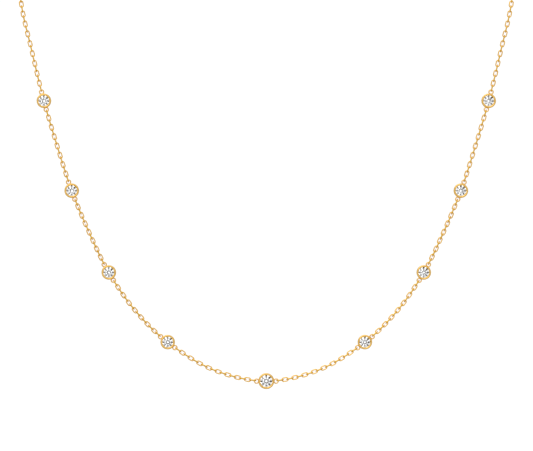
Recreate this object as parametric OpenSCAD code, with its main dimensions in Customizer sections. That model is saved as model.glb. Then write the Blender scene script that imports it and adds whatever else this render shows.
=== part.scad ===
// Station necklace: nine round stones in tube settings, spaced along a fine cable chain.
// The front hangs in one plane that leans back, and the rest runs round the neck to a
// spring ring. The origin is at the nape of the neck, in the middle of the closed clasp.
// +Z is up and the stones face -Y. All lengths are in millimetres.

/* [Necklace] */
// Length once round the neck with the clasp closed
necklace_len = 457; // [430:1:490]
// Angle at which the front leans back on the chest, in degrees
lean = 10; // [0:1:25]
// Number of links above the top stone on each side
end_links = 48; // [30:2:52]

/* [Link] */
// Outer length of a link that stands edge on
link_len = 1.96; // [1.9:0.01:2.2]
// Outer length of a link that stands face on
face_len = 1.84; // [1.8:0.01:2]
// Outer width of a link
link_w = 1.16; // [1.08:0.02:1.4]
// Thickness of the link wire
link_wire = 0.27; // [0.22:0.01:0.3]
// Turn of all links about the line of the chain, in degrees
link_turn = 8; // [0:1:12]

/* [Stone] */
// Diameter of a side stone
stone_d = 2.8; // [2.4:0.05:3.2]
// Diameter of the middle stone
middle_stone_d = 3.14; // [2.6:0.02:3.6]
// Width of the table, as a share of the stone's diameter
table_share = 0.56; // [0.5:0.01:0.62]
// Height of the crown, as a share of the stone's diameter
crown_share = 0.15; // [0.12:0.01:0.18]
// Depth of the pavilion, as a share of the stone's diameter
pavilion_share = 0.43; // [0.4:0.01:0.46]
// Thickness of the girdle
girdle_h = 0.08; // [0.05:0.01:0.12]

/* [Setting] */
// Width of the rounded rim, seen from the front
rim_w = 0.48; // [0.4:0.01:0.56]
// How far the rim reaches over the edge of the stone
rim_lip = 0.08; // [0.05:0.01:0.12]
// Width of the ledge that the stone sits on
seat_w = 0.4; // [0.3:0.02:0.5]
// Metal round the open back of a setting
foot_wall = 0.32; // [0.25:0.01:0.4]
// How far the back of a setting reaches past the point of the stone
foot_guard = 0.08; // [0.04:0.01:0.2]
// Outer diameter of a soldered ring
ring_d = 1.36; // [1.24:0.02:1.6]
// Thickness of a soldered ring's wire
ring_wire = 0.3; // [0.24:0.01:0.34]

/* [Clasp] */
// Outer diameter of the spring ring
clasp_d = 5.5; // [5:0.1:7]
// Thickness of the spring ring's tube
clasp_tube = 1.1; // [0.9:0.05:1.25]
// Outer diameter of the loop on the spring ring
clasp_loop_d = 1.6; // [1.4:0.05:2]
// Thickness of that loop's wire
clasp_loop_wire = 0.36; // [0.3:0.02:0.42]
// Outer diameter of the ring that the clasp hooks into
end_ring_d = 2.6; // [2.4:0.05:3.2]
// Thickness of that ring's wire
end_ring_wire = 0.42; // [0.36:0.02:0.46]
// Length of the thumb pin on the spring ring
thumb_len = 0.7; // [0.4:0.05:1.2]
// Thickness of the thumb pin
thumb_d = 0.6; // [0.4:0.05:0.8]

/* [Hidden] */
STATIONS = 9;
BETWEEN = STATIONS - 1;
MIDDLE = ceil(STATIONS / 2);
function numbered(name, count) = [for (i = [1:count]) str(name, i)];

// One row for each length of chain from the middle stone outwards, the same on both sides.
// The slack is how far two neighbouring links can be pushed together from a tight pull, as a
// share of the thickness of their wire.
LINKS = 0;
SLACK = 1;
SECTIONS = [
  [17, 0.377],
  [15, 0.685],
  [15, 0.796],
  [15, 0.555]
];
END_SLACK = 0.375;

// The right half of the chain's route, from the middle stone to the nape. Each point is
// how far across, how far up along the leaning front and how far behind it.
ROUTE = [
  [0, 0, 0],
  [13.1, 2.8, 0],
  [24.5, 9.7, 0],
  [32.6, 17.6, 0],
  [39.1, 27, 0],
  [44, 37, 0],
  [48.3, 47.3, 0],
  [51.9, 58.4, 0],
  [55.2, 69.6, 0],
  [58.2, 82, 0],
  [60.9, 94.4, 0],
  [61.9, 109, 4.5],
  [58.3, 120.2, 14.5],
  [51.4, 128.2, 25.5],
  [41.8, 134, 36],
  [29.6, 137.6, 44.4],
  [15, 139.4, 49.6],
  [0, 140, 51.4]
];
// The last point that lies in the front plane
PLANE_END = 10;
SPAN_STEPS = 12;

stone_gap = 0.03;
seat_gap = 0.15;
ring_sink = 0.22;
rim_rise = 0.12;
straight_wall = 0.5;
loop_sink = 0.25;
cut = 1;
star_share = 0.55;
lower_share = 0.23;
thumb_angle = 50;
tube_sides = 8;
tube_step = 2.4;
tangent_step = 0.4;
shape_fn = 48;
gold = [0.89, 0.68, 0.38];
white = [0.93, 0.94, 0.96];

// Route: a smooth curve through the points, measured by its length from the middle stone
function flip(p) = [-p.x, p.y, p.z];
function unit(v) = v / norm(v);
function route_point(i) =
  i < 0 ? flip(ROUTE[-i]) : i >= len(ROUTE) ? flip(ROUTE[2 * len(ROUTE) - 2 - i]) : ROUTE[i];
function blend(a, b, c, d, t) =
  0.5 * (2 * b + (c - a) * t + (2 * a - 5 * b + 4 * c - d) * t * t
  + (3 * b - a - 3 * c + d) * t * t * t);
function span_point(i, t) =
  blend(route_point(i - 1), route_point(i), route_point(i + 1), route_point(i + 2), t);
function lean_back(p) =
  [p.x, p.z * cos(lean) + p.y * sin(lean), p.y * cos(lean) - p.z * sin(lean)];

raw_points = [
  for (i = [0:len(ROUTE) - 2], k = [0:SPAN_STEPS - 1]) span_point(i, k / SPAN_STEPS),
  ROUTE[len(ROUTE) - 1]
];
function run_to(i) = i == 0 ? 0 : run_to(i - 1) + norm(raw_points[i] - raw_points[i - 1]);
raw_run = [for (i = [0:len(raw_points) - 1]) run_to(i)];
half_len = necklace_len / 2;
route_scale = half_len / raw_run[len(raw_run) - 1];
nape = ROUTE[len(ROUTE) - 1];
path = [for (p = raw_points) lean_back((p - nape) * route_scale)];
path_x = [for (i = [0:len(path) - 1]) [raw_run[i] * route_scale, path[i].x]];
path_y = [for (i = [0:len(path) - 1]) [raw_run[i] * route_scale, path[i].y]];
path_z = [for (i = [0:len(path) - 1]) [raw_run[i] * route_scale, path[i].z]];
plane_len = raw_run[PLANE_END * SPAN_STEPS] * route_scale;

// A place on the loop: positive to the right of the middle stone, negative to the left
function at(s) =
  s < 0 ? flip(at(-s)) : s > half_len ? flip(at(2 * half_len - s))
  : [lookup(s, path_x), lookup(s, path_y), lookup(s, path_z)];
function tangent(s) = unit(at(s + tangent_step) - at(s - tangent_step));
front = [0, -cos(lean), sin(lean)];
back = [0, 1, 0];
// The side of the chain that is turned away from the neck
function facing(s) =
  let (
    turn = 180 * max(0, abs(s) - plane_len) / (half_len - plane_len),
    side = [s < 0 ? -1 : 1, 0, 0]
  )
  sin(turn) * side + max(0, cos(turn)) * front + max(0, -cos(turn)) * back;
function frame(s) =
  let (
    p = at(s),
    t = tangent(s),
    f = facing(s),
    n = unit(f - (f * t) * t),
    w = cross(n, t)
  )
  [
    [t.x, w.x, n.x, p.x],
    [t.y, w.y, n.y, p.y],
    [t.z, w.z, n.z, p.z],
    [0, 0, 0, 1]
  ];

// Places along the chain, by length from the middle stone
function station_stone_d(i) = i == MIDDLE ? middle_stone_d : stone_d;
function setting_r(d) = d / 2 + rim_w - rim_lip;
function play(slack) = slack * link_wire;
function pitch(slack) = (link_len + face_len) / 2 - 2 * link_wire - play(slack);
function first_link(d, slack) =
  setting_r(d) + ring_d - ring_sink - ring_wire - play(slack) - link_wire + link_len / 2;
function section_len(k) =
  let (row = SECTIONS[k])
  first_link(k == 0 ? middle_stone_d : stone_d, row[SLACK])
  + (row[LINKS] - 1) * pitch(row[SLACK]) + first_link(stone_d, row[SLACK]);
function out_to(k) = k == 0 ? 0 : out_to(k - 1) + section_len(k - 1);
function sign_of(i) = i < MIDDLE ? -1 : 1;
function station_s(i) = sign_of(i) * out_to(abs(i - MIDDLE));
end_start = out_to(len(SECTIONS)) + first_link(stone_d, END_SLACK);
end_stop = end_start + (end_links - 1) * pitch(END_SLACK) + face_len / 2;
loop_reach = clasp_d / 2 + clasp_loop_d - loop_sink;
end_ring_at = clasp_d / 2 - clasp_tube - seat_gap - end_ring_wire + end_ring_d / 2;
end_ring_reach = end_ring_at + end_ring_d / 2;

module place(s) {
  multmatrix(frame(s))
    children();
}

module wire_ring(d, wire) {
  rotate_extrude($fn = shape_fn)
    translate([(d - wire) / 2, 0])
      circle(d = wire, $fn = shape_fn);
}

// One oval link of a given length, lying along X with its opening facing Z
module link(length) {
  bend_r = (link_w - link_wire) / 2;
  straight = length - link_w;
  for (end = [0, 180])
    rotate([0, 0, end])
      translate([straight / 2, 0, 0])
        rotate([0, 0, -90])
          rotate_extrude(angle = 180, $fn = shape_fn)
            translate([bend_r, 0])
              circle(d = link_wire, $fn = shape_fn);
  for (rail = [-1, 1])
    translate([-straight / 2, rail * bend_r, 0])
      rotate([0, 90, 0])
        cylinder(d = link_wire, h = straight, $fn = shape_fn);
}

// Links stand edge on and face on by turns, edge on first
module links(start, count, slack, side) {
  for (i = [0:count - 1])
    place(side * (start + i * pitch(slack)))
      rotate([(i % 2 == 0 ? 90 : 0) - link_turn, 0, 0])
        link(i % 2 == 0 ? link_len : face_len);
}

// The chain between station i and station i + 1, counted from the left
module chain_between(i) {
  k = i < MIDDLE ? MIDDLE - 1 - i : i - MIDDLE;
  inner_d = k == 0 ? middle_stone_d : stone_d;
  row = SECTIONS[k];
  color(gold)
    links(out_to(k) + first_link(inner_d, row[SLACK]), row[LINKS], row[SLACK], i < MIDDLE ? -1 : 1);
}

module chain_left() {
  color(gold)
    links(end_start, end_links, END_SLACK, -1);
}

module chain_right() {
  color(gold)
    links(end_start, end_links, END_SLACK, 1);
}

// Outline of a setting to one side of its axis, with the girdle's lower edge at height 0
module setting_outline(d) {
  r = d / 2;
  outer = setting_r(d);
  lip_r = outer - rim_w;
  bore_r = r - seat_w;
  edge_r = r + stone_gap;
  foot_z = -pavilion_share * d - foot_guard;
  rim_z = girdle_h + rim_rise;
  top_z = rim_z + rim_w;
  crown_slope = crown_share / (0.5 - table_share / 2);
  pavilion_slope = 2 * pavilion_share;
  difference() {
    union() {
      polygon([
        [0, foot_z],
        [bore_r + foot_wall, foot_z],
        [outer, -straight_wall],
        [outer, rim_z],
        [0, rim_z]
      ]);
      translate([outer - rim_w / 2, rim_z])
        circle(d = rim_w, $fn = shape_fn);
    }
    polygon([
      [-cut, foot_z - cut],
      [bore_r, foot_z - cut],
      [bore_r, -stone_gap - (edge_r - bore_r) * pavilion_slope],
      [edge_r, -stone_gap],
      [edge_r, girdle_h + stone_gap],
      [lip_r, girdle_h + stone_gap + (edge_r - lip_r) * crown_slope],
      [lip_r, top_z],
      [-cut, top_z]
    ]);
  }
}

// A tube setting with its two soldered rings, one toward each neighbour
module setting(i) {
  d = station_stone_d(i);
  color(gold)
    place(station_s(i))
      union() {
        rotate_extrude($fn = shape_fn)
          setting_outline(d);
        for (end = [-1, 1])
          translate([end * (setting_r(d) + ring_d / 2 - ring_sink), 0, 0])
            wire_ring(ring_d, ring_wire);
      }
}

// A round brilliant: 33 facets in the crown, a girdle of 16 sides and 24 facets below
module brilliant(d) {
  r = d / 2;
  table_r = table_share * r;
  crown_h = crown_share * d;
  depth = pavilion_share * d;
  star_r = table_r + star_share * (r - table_r);
  lower_r = lower_share * r;
  half_turn = cos(22.5);
  table = [for (i = [0:7]) ring_point(table_r, 45 * i, girdle_h + crown_h)];
  star = [
    for (i = [0:7])
      ring_point(star_r, 45 * i + 22.5,
        girdle_h + crown_h * (r - star_r * half_turn) / (r - table_r))
  ];
  girdle_top = [for (i = [0:15]) ring_point(r, 22.5 * i, girdle_h)];
  girdle_low = [for (i = [0:15]) ring_point(r, 22.5 * i, 0)];
  lower = [
    for (i = [0:7]) ring_point(lower_r, 45 * i + 22.5, -depth * (r - lower_r * half_turn) / r)
  ];
  // Where each ring of points starts in the list below
  t = 0;
  s = 8;
  g = 16;
  b = 32;
  l = 48;
  culet = 56;
  polyhedron(
    points = concat(table, star, girdle_top, girdle_low, lower, [[0, 0, -depth]]),
    faces = concat(
      [[for (i = [7:-1:0]) t + i]],
      [for (i = [0:7]) [t + (i + 1) % 8, s + i, t + i]],
      [for (i = [0:7]) [s + i, g + 2 * i, s + (i + 7) % 8, t + i]],
      [for (i = [0:7]) [g + 2 * i + 1, g + 2 * i, s + i]],
      [for (i = [0:7]) [g + (2 * i + 2) % 16, g + 2 * i + 1, s + i]],
      [for (i = [0:15]) [g + i, g + (i + 1) % 16, b + (i + 1) % 16, b + i]],
      [for (i = [0:7]) [b + 2 * i, b + 2 * i + 1, l + i]],
      [for (i = [0:7]) [b + 2 * i + 1, b + (2 * i + 2) % 16, l + i]],
      [for (i = [0:7]) [l + (i + 7) % 8, b + 2 * i, l + i, culet]]
    )
  );
}
function ring_point(r, angle, z) = [r * cos(angle), r * sin(angle), z];

// Every stone is turned the same way, whatever way its setting points
module stone(i) {
  color(white)
    translate(at(station_s(i)))
      rotate([90 - lean, 0, 0])
        brilliant(station_stone_d(i));
}

// The rest of each side, as one plain round string with eight sides
module back_string(start, stop, side) {
  count = ceil((stop - start) / (tube_step * link_w));
  rings = [
    for (i = [0:count])
      let (m = frame(side * (start + (stop - start) * i / count)))
      [
        for (k = [0:tube_sides - 1])
          let (
            c = link_w / 2 * cos(360 * k / tube_sides),
            e = link_w / 2 * sin(360 * k / tube_sides)
          )
          [for (row = [0:2]) m[row][3] + m[row][1] * c + m[row][2] * e]
      ]
  ];
  points = [for (ring = rings, p = ring) p];
  walls = [
    for (i = [0:count - 1], k = [0:tube_sides - 1])
      let (
        a = i * tube_sides + k,
        b = i * tube_sides + (k + 1) % tube_sides
      )
      each [[a, a + tube_sides, b + tube_sides], [a, b + tube_sides, b]]
  ];
  first = [for (k = [0:tube_sides - 1]) k];
  last = [for (k = [tube_sides - 1:-1:0]) count * tube_sides + k];
  faces = concat(walls, [first, last]);
  color(gold)
    polyhedron(
      points = points,
      faces = side > 0 ? faces : [for (f = faces) [for (j = [len(f) - 1:-1:0]) f[j]]]
    );
}

module back_left() {
  back_string(end_stop + seat_gap, half_len - loop_reach - seat_gap, -1);
}

module back_right() {
  back_string(end_stop + seat_gap, half_len - end_ring_reach - seat_gap, 1);
}

// Closed spring ring in one piece, with the loop that takes the left end of the chain
module clasp() {
  color(gold)
    place(half_len)
      union() {
        wire_ring(clasp_d, clasp_tube);
        translate([loop_reach - clasp_loop_d / 2, 0, 0])
          wire_ring(clasp_loop_d, clasp_loop_wire);
        rotate([0, 0, thumb_angle])
          translate([(clasp_d - clasp_tube) / 2, 0, 0])
            rotate([0, 90, 0])
              cylinder(d = thumb_d, h = clasp_tube / 2 + thumb_len, $fn = shape_fn);
      }
}

// The ring at the right end of the chain, hooked through the clasp
module end_ring() {
  color(gold)
    place(half_len - end_ring_at)
      rotate([90, 0, 0])
        wire_ring(end_ring_d, end_ring_wire);
}

for (i = [1:STATIONS]) {
  setting(i);
  stone(i);
}
for (i = [1:BETWEEN])
  chain_between(i);
chain_left();
chain_right();
back_left();
back_right();
clasp();
end_ring();
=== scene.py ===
import math

import bpy
from mathutils import Matrix, Vector


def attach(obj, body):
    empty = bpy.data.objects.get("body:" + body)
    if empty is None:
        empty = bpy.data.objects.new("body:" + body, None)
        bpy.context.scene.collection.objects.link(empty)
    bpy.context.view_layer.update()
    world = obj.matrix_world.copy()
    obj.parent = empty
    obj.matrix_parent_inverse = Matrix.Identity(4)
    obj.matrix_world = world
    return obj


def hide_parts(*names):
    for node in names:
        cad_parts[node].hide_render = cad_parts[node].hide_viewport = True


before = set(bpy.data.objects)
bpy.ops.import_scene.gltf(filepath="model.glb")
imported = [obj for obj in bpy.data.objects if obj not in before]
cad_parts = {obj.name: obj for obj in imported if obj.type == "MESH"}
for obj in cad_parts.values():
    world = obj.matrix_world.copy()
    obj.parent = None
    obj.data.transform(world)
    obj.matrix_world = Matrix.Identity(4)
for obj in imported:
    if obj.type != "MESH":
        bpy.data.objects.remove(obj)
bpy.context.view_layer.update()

# All lengths are in metres, in the frame of the CAD model.
MM = 0.001

# The loop, as the part's source has it
NECKLACE_LEN = 457 * MM
LEAN = math.radians(10)
ROUTE = [
    (0, 0, 0), (13.1, 2.8, 0), (24.5, 9.7, 0), (32.6, 17.6, 0), (39.1, 27, 0), (44, 37, 0),
    (48.3, 47.3, 0), (51.9, 58.4, 0), (55.2, 69.6, 0), (58.2, 82, 0), (60.9, 94.4, 0),
    (61.9, 109, 4.5), (58.3, 120.2, 14.5), (51.4, 128.2, 25.5), (41.8, 134, 36),
    (29.6, 137.6, 44.4), (15, 139.4, 49.6), (0, 140, 51.4),
]
PLANE_END = 10
BACK = Vector((0, 1, 0))
SPAN_STEPS = 12
TANGENT_STEP = 0.4 * MM

# Link sizes as the part's source has them. The last CAD link on each side stands at
# LAST_CAD_S along the loop from the middle stone. The links from there on are counted, and
# the last of them stands at LEFT_STOP or RIGHT_STOP.
EDGE_LEN = 1.96 * MM
FACE_LEN = 1.84 * MM
LINK_W = 1.16 * MM
LINK_WIRE = 0.27 * MM
LINK_TURN = math.radians(8)
LAST_CAD_LINK = 47
LAST_CAD_S = 157.632 * MM
LEFT_LINKS = 53
LEFT_STOP = 224.17 * MM
RIGHT_LINKS = 54
RIGHT_STOP = 224.71 * MM
BEND_STEPS = 12
WIRE_SIDES = 16
QUARTER_TURN = math.pi / 2

# The photo's frame: 533 by 451 px at 4.03 px to the millimetre, seen square to the front
FRAME_W = 132.26 * MM
CAMERA_TARGET = Vector((0.05, -68.22, -90.92)) * MM
CAMERA_DISTANCE = 1.0
SENSOR = 36.0
CLIP_START = 0.05
CLIP_END = 50
FRONT = Vector((0, -math.cos(LEAN), math.sin(LEAN)))

# The floor, and a dim glowing card just above it that shows only as a painted reflection in the
# gold, each by half its width and half its depth
FLOOR_Z = -150 * MM
FLOOR_HALF = (12.0, 12.0)
CARD_Z = FLOOR_Z + 2 * MM
CARD_HALF = (2.0, 3.0)
CARD_LIGHT = 0.6

# Gold: the darker and the lighter tone
SETTING_GOLD = ((0.88, 0.545, 0.135, 1), (0.94, 0.60, 0.17, 1))
CHAIN_GOLD = ((0.88, 0.525, 0.06, 1), (0.94, 0.585, 0.085, 1))
TONE_SCALE = 900
TONE_SPAN = (0.35, 0.65)
MARK_DETAIL = 4
MARK_STRENGTH = 0.1
MARK_DEPTH = 0.004 * MM

# Stones: two faint tints, and a girdle that is frosted where it faces sideways
STONE_TINT = ((0.92, 0.96, 1.0, 1), (0.97, 0.985, 1.0, 1))
STONE_TINT_SCALE = 500
STONE_IOR = 2.417
GIRDLE_FACING = (0.05, 0.1)
GIRDLE_ROUGHNESS = 0.35

FLOOR_TONE = ((0.93, 0.93, 0.93, 1), (0.95, 0.95, 0.95, 1))
FLOOR_TONE_SCALE = 3
FLOOR_ROUGHNESS = 0.9

# Where the cloudy noise starts and stops to count, and its detail
NOISE_SPAN = (0.3, 0.7)
NOISE_DETAIL = 2

WHITE = (1, 1, 1, 1)

# Soft round lights about the object: direction, full inside this angle, none outside this
# one, brightness on the gold and brightness in the stones. The two base values hold elsewhere.
GOLD_BASE = 0.64
STONE_BASE = 2.0
FLOOR_LIGHT = 1.12
LIGHTS = [
    ((0, 0.3, 1), 25, 50, 1.3, 2.66),
    ((-0.45, -0.5, 0.9), 12, 36, 1.9, 2.6),
    ((0.8, -0.4, -0.65), 20, 56, 0.1, 1.6),
    ((0, 1, 0.2), 30, 70, 0.55, 1.5),
    ((0.07, -0.95, 0.28), 19, 32, 1.1, 0.01),
]


# Route: a smooth curve through the points, measured by its length from the middle stone

def flip(p):
    return Vector((-p.x, p.y, p.z))


def route_point(i):
    if i < 0:
        return flip(Vector(ROUTE[-i]))
    if i >= len(ROUTE):
        return flip(Vector(ROUTE[2 * len(ROUTE) - 2 - i]))
    return Vector(ROUTE[i])


def blend(a, b, c, d, t):
    """A point between b and c, at share t, on the smooth curve through all four."""
    return 0.5 * (2 * b + (c - a) * t + (2 * a - 5 * b + 4 * c - d) * t ** 2
                  + (3 * b - a - 3 * c + d) * t ** 3)


def lean_back(p):
    return Vector((p.x, p.z * math.cos(LEAN) + p.y * math.sin(LEAN),
                   p.y * math.cos(LEAN) - p.z * math.sin(LEAN)))


class Route:
    """The loop as points, with the length that lies before each of them."""

    def __init__(self):
        raw = []
        for i in range(len(ROUTE) - 1):
            near = [route_point(i + k) for k in (-1, 0, 1, 2)]
            raw += [blend(*near, k / SPAN_STEPS) for k in range(SPAN_STEPS)]
        raw.append(Vector(ROUTE[-1]))
        run = [0.0]
        for a, b in zip(raw, raw[1:]):
            run.append(run[-1] + (b - a).length)
        self.half = NECKLACE_LEN / 2
        scale = self.half / run[-1]
        nape = Vector(ROUTE[-1])
        self.points = [lean_back((p - nape) * scale) for p in raw]
        self.run = [r * scale for r in run]
        self.plane = self.run[PLANE_END * SPAN_STEPS]

    def at(self, s):
        if s < 0:
            return flip(self.at(-s))
        if s > self.half:
            return flip(self.at(2 * self.half - s))
        i = 0
        while self.run[i + 1] < s:
            i += 1
        t = (s - self.run[i]) / (self.run[i + 1] - self.run[i])
        return self.points[i].lerp(self.points[i + 1], t)

    def frame(self, s):
        """A place on the loop: X along it, Z away from the neck."""
        turn = math.pi * max(0, abs(s) - self.plane) / (self.half - self.plane)
        facing = (math.sin(turn) * Vector((-1 if s < 0 else 1, 0, 0))
                  + max(0, math.cos(turn)) * FRONT
                  + max(0, -math.cos(turn)) * BACK)
        t = (self.at(s + TANGENT_STEP) - self.at(s - TANGENT_STEP)).normalized()
        n = (facing - facing.dot(t) * t).normalized()
        w = n.cross(t)
        m = Matrix((t, w, n)).transposed().to_4x4()
        m.translation = self.at(s)
        return m


# Real links for the last stretch on each side, where the CAD model has a plain string

def link_path(length):
    """Centre line of a link, lying along X, as (point, outward normal) pairs."""
    bend_r = (LINK_W - LINK_WIRE) / 2
    straight = (length - LINK_W) / 2
    path = []
    for end in (1, -1):
        for k in range(BEND_STEPS + 1):
            a = math.pi * (k / BEND_STEPS - 0.5)
            out = Vector((end * math.cos(a), end * math.sin(a), 0))
            path.append((Vector((end * straight, 0, 0)) + out * bend_r, out))
    return path


def link_mesh(length):
    verts = []
    path = link_path(length)
    for point, out in path:
        for k in range(WIRE_SIDES):
            a = 2 * math.pi * k / WIRE_SIDES
            offset = math.cos(a) * out + math.sin(a) * Vector((0, 0, 1))
            verts.append(point + offset * LINK_WIRE / 2)
    faces = []
    for i in range(len(path)):
        j = (i + 1) % len(path)
        for k in range(WIRE_SIDES):
            m = (k + 1) % WIRE_SIDES
            faces.append((i * WIRE_SIDES + k, j * WIRE_SIDES + k,
                          j * WIRE_SIDES + m, i * WIRE_SIDES + m))
    return verts, faces


def back_links(name, route, count, stop, side, material):
    """The links after the last CAD link on one side, edge on and face on by turns."""
    edge_on, face_on = link_mesh(EDGE_LEN), link_mesh(FACE_LEN)
    verts, faces = [], []
    for i in range(1, count + 1):
        turned = (LAST_CAD_LINK + i) % 2 == 0
        local, local_faces = edge_on if turned else face_on
        s = LAST_CAD_S + (stop - LAST_CAD_S) * i / count
        turn = (QUARTER_TURN if turned else 0) - LINK_TURN
        m = route.frame(side * s) @ Matrix.Rotation(turn, 4, "X")
        base = len(verts)
        verts += [m @ v for v in local]
        faces += [[base + k for k in f] for f in local_faces]
    piece = add_object(name, verts, faces, material)
    piece.data.polygons.foreach_set("use_smooth", [True] * len(faces))
    piece.data.update()
    return piece


# Materials

def new_material(name):
    material = bpy.data.materials.new(name)
    material.use_nodes = True
    nodes = material.node_tree.nodes
    shader = next(n for n in nodes if n.type == "BSDF_PRINCIPLED")
    return material, nodes, material.node_tree.links, shader


def noise(nodes, links, scale, detail=NOISE_DETAIL):
    """Cloudy noise that stays on the piece, with its values from 0 to 1."""
    place = nodes.new("ShaderNodeTexCoord")
    texture = nodes.new("ShaderNodeTexNoise")
    texture.inputs["Scale"].default_value = scale
    texture.inputs["Detail"].default_value = detail
    links.new(place.outputs["Object"], texture.inputs["Vector"])
    return texture


def tone_between(nodes, links, source, span, tones):
    """The first colour where the source is at the start of the span, the second at its end."""
    node = nodes.new("ShaderNodeValToRGB")
    for element, position, colour in zip(node.color_ramp.elements, span, tones):
        element.position, element.color = position, colour
    links.new(source, node.inputs["Fac"])
    return node.outputs["Color"]


def map_range(nodes, links, source, span, values):
    node = nodes.new("ShaderNodeMapRange")
    node.inputs["From Min"].default_value, node.inputs["From Max"].default_value = span
    node.inputs["To Min"].default_value, node.inputs["To Max"].default_value = values
    links.new(source, node.inputs["Value"])
    return node


def gold(name, tones, roughness, grain):
    """Polished yellow gold: a little cloudy in tone, with the fine marks of polishing."""
    material, nodes, links, shader = new_material(name)
    tone = noise(nodes, links, TONE_SCALE)
    colour = tone_between(nodes, links, tone.outputs["Fac"], TONE_SPAN, tones)
    links.new(colour, shader.inputs["Base Color"])
    shader.inputs["Metallic"].default_value = 1.0
    shader.inputs["Specular Tint"].default_value = tones[1]
    marks = noise(nodes, links, grain, MARK_DETAIL)
    rough = map_range(nodes, links, marks.outputs["Fac"], NOISE_SPAN, roughness)
    links.new(rough.outputs["Result"], shader.inputs["Roughness"])
    bump = nodes.new("ShaderNodeBump")
    bump.inputs["Strength"].default_value = MARK_STRENGTH
    bump.inputs["Distance"].default_value = MARK_DEPTH
    links.new(marks.outputs["Fac"], bump.inputs["Height"])
    links.new(bump.outputs["Normal"], shader.inputs["Normal"])
    return material


def cut_stone():
    """Clear cut stone with a frosted girdle and a very faint tint that varies inside it."""
    material, nodes, links, shader = new_material("cut_stone")
    tint = noise(nodes, links, STONE_TINT_SCALE)
    colour = tone_between(nodes, links, tint.outputs["Fac"], NOISE_SPAN, STONE_TINT)
    links.new(colour, shader.inputs["Base Color"])
    shader.inputs["IOR"].default_value = STONE_IOR
    shader.inputs["Transmission Weight"].default_value = 1.0
    geometry = nodes.new("ShaderNodeNewGeometry")
    along = nodes.new("ShaderNodeVectorMath")
    along.operation = "DOT_PRODUCT"
    along.inputs[1].default_value = FRONT
    links.new(geometry.outputs["True Normal"], along.inputs[0])
    flat = nodes.new("ShaderNodeMath")
    flat.operation = "ABSOLUTE"
    links.new(along.outputs["Value"], flat.inputs[0])
    frosted = map_range(nodes, links, flat.outputs["Value"], GIRDLE_FACING, (GIRDLE_ROUGHNESS, 0))
    links.new(frosted.outputs["Result"], shader.inputs["Roughness"])
    return material


def floor_material():
    material, nodes, links, shader = new_material("pale_floor")
    tone = noise(nodes, links, FLOOR_TONE_SCALE)
    colour = tone_between(nodes, links, tone.outputs["Fac"], NOISE_SPAN, FLOOR_TONE)
    links.new(colour, shader.inputs["Base Color"])
    shader.inputs["Roughness"].default_value = FLOOR_ROUGHNESS
    shader.inputs["Specular IOR Level"].default_value = 0.0
    return material


def add_object(name, verts, faces, material):
    mesh = bpy.data.meshes.new(name)
    mesh.from_pydata(verts, [], faces)
    mesh.update()
    mesh.materials.append(material)
    obj = bpy.data.objects.new(name, mesh)
    bpy.context.scene.collection.objects.link(obj)
    return obj


def set_material(obj, material):
    obj.data.materials.clear()
    obj.data.materials.append(material)


# Stage

def make_camera():
    data = bpy.data.cameras.new("camera")
    data.sensor_width = SENSOR
    data.lens = SENSOR * CAMERA_DISTANCE / FRAME_W
    data.clip_start = CLIP_START
    data.clip_end = CLIP_END
    camera = bpy.data.objects.new("camera", data)
    camera.location = CAMERA_TARGET + FRONT * CAMERA_DISTANCE
    camera.rotation_mode = "QUATERNION"
    camera.rotation_quaternion = (-FRONT).to_track_quat("-Z", "Y")
    bpy.context.scene.collection.objects.link(camera)
    bpy.context.scene.camera = camera


def flat_board(name, half, z, material):
    x, y = half
    return add_object(name, [(-x, -y, z), (x, -y, z), (x, y, z), (-x, y, z)], [(0, 1, 2, 3)],
                      material)


def make_floor():
    floor = flat_board("floor", FLOOR_HALF, FLOOR_Z, floor_material())


def make_reflection_card():
    """A dim glowing card that only the gold mirrors, so that it has something deeper than the floor
    to show: a painted reflection, darker than the floor, that lights nothing and casts no shadow.
    """
    material = bpy.data.materials.new("reflection_card")
    material.use_nodes = True
    nodes, links = material.node_tree.nodes, material.node_tree.links
    nodes.clear()
    glow = nodes.new("ShaderNodeEmission")
    glow.inputs["Strength"].default_value = CARD_LIGHT
    output = nodes.new("ShaderNodeOutputMaterial")
    links.new(glow.outputs["Emission"], output.inputs["Surface"])
    reflection_card = flat_board("reflection_card", CARD_HALF, CARD_Z, material)
    # Hidden from the camera, from diffuse light and from shadows, so the card shows only as a
    # painted reflection
    reflection_card.visible_camera = False
    reflection_card.visible_diffuse = False
    reflection_card.visible_transmission = False
    reflection_card.visible_shadow = False


def number(nodes, value):
    node = nodes.new("ShaderNodeValue")
    node.outputs[0].default_value = value
    return node.outputs[0]


def mix(nodes, links, share, a, b):
    node = nodes.new("ShaderNodeMix")
    links.new(share, node.inputs["Factor"])
    links.new(a, node.inputs["A"])
    links.new(b, node.inputs["B"])
    return node.outputs["Result"]


def lobe(nodes, links, place, axis, inner, outer):
    """How much of a soft round light lies in the direction that is looked in."""
    towards = nodes.new("ShaderNodeVectorMath")
    towards.operation = "DOT_PRODUCT"
    towards.inputs[1].default_value = Vector(axis).normalized()
    links.new(place.outputs["Generated"], towards.inputs[0])
    share = nodes.new("ShaderNodeMapRange")
    share.interpolation_type = "SMOOTHSTEP"
    share.inputs["From Min"].default_value = math.cos(math.radians(outer))
    share.inputs["From Max"].default_value = math.cos(math.radians(inner))
    links.new(towards.outputs["Value"], share.inputs["Value"])
    return share.outputs["Result"]


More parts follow.
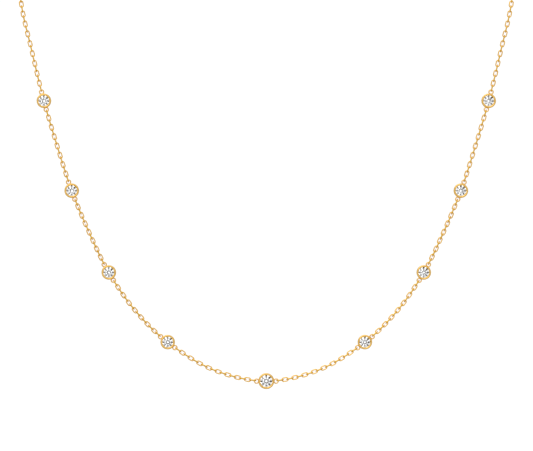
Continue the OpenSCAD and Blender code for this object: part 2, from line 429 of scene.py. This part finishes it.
def make_world():
    """Studio light for the gold, the stones and the floor, with plain white behind them."""
    world = bpy.data.worlds.new("studio")
    world.use_nodes = True
    nodes, links = world.node_tree.nodes, world.node_tree.links
    background = next(n for n in nodes if n.type == "BACKGROUND")
    place = nodes.new("ShaderNodeTexCoord")
    on_gold, in_stone = number(nodes, GOLD_BASE), number(nodes, STONE_BASE)
    for axis, inner, outer, gold_light, stone_light in LIGHTS:
        share = lobe(nodes, links, place, axis, inner, outer)
        on_gold = mix(nodes, links, share, on_gold, number(nodes, gold_light))
        in_stone = mix(nodes, links, share, in_stone, number(nodes, stone_light))
    seen = nodes.new("ShaderNodeLightPath")
    strength = mix(nodes, links, seen.outputs["Is Transmission Ray"], on_gold, in_stone)
    strength = mix(nodes, links, seen.outputs["Is Diffuse Ray"], strength,
                   number(nodes, FLOOR_LIGHT))
    links.new(strength, background.inputs["Strength"])
    background.inputs["Color"].default_value = WHITE
    plain = nodes.new("ShaderNodeBackground")
    plain.inputs["Color"].default_value = WHITE
    both = nodes.new("ShaderNodeMixShader")
    output = next(n for n in nodes if n.type == "OUTPUT_WORLD")
    links.new(seen.outputs["Is Camera Ray"], both.inputs["Fac"])
    links.new(background.outputs["Background"], both.inputs[1])
    links.new(plain.outputs["Background"], both.inputs[2])
    links.new(both.outputs["Shader"], output.inputs["Surface"])
    bpy.context.scene.world = world


make_camera()
make_floor()
make_reflection_card()
make_world()
bpy.context.scene.view_settings.view_transform = "Standard"

setting_gold = gold("setting_gold", SETTING_GOLD, roughness=(0.10, 0.20), grain=6000)
chain_gold = gold("chain_gold", CHAIN_GOLD, roughness=(0.12, 0.24), grain=5000)
clasp_gold = gold("clasp_gold", SETTING_GOLD, roughness=(0.10, 0.22), grain=4000)
stone = cut_stone()

for name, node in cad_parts.items():
    if name.startswith("setting_"):
        set_material(node, setting_gold)
    elif name.startswith("stone_"):
        set_material(node, stone)
    elif name in ("clasp", "end_ring"):
        set_material(node, clasp_gold)
    else:
        set_material(node, chain_gold)

route = Route()
left = back_links("back_links_left", route, LEFT_LINKS, LEFT_STOP, -1, chain_gold)
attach(left, "root")
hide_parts("back_left")
right = back_links("back_links_right", route, RIGHT_LINKS, RIGHT_STOP, 1, chain_gold)
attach(right, "root")
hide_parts("back_right")
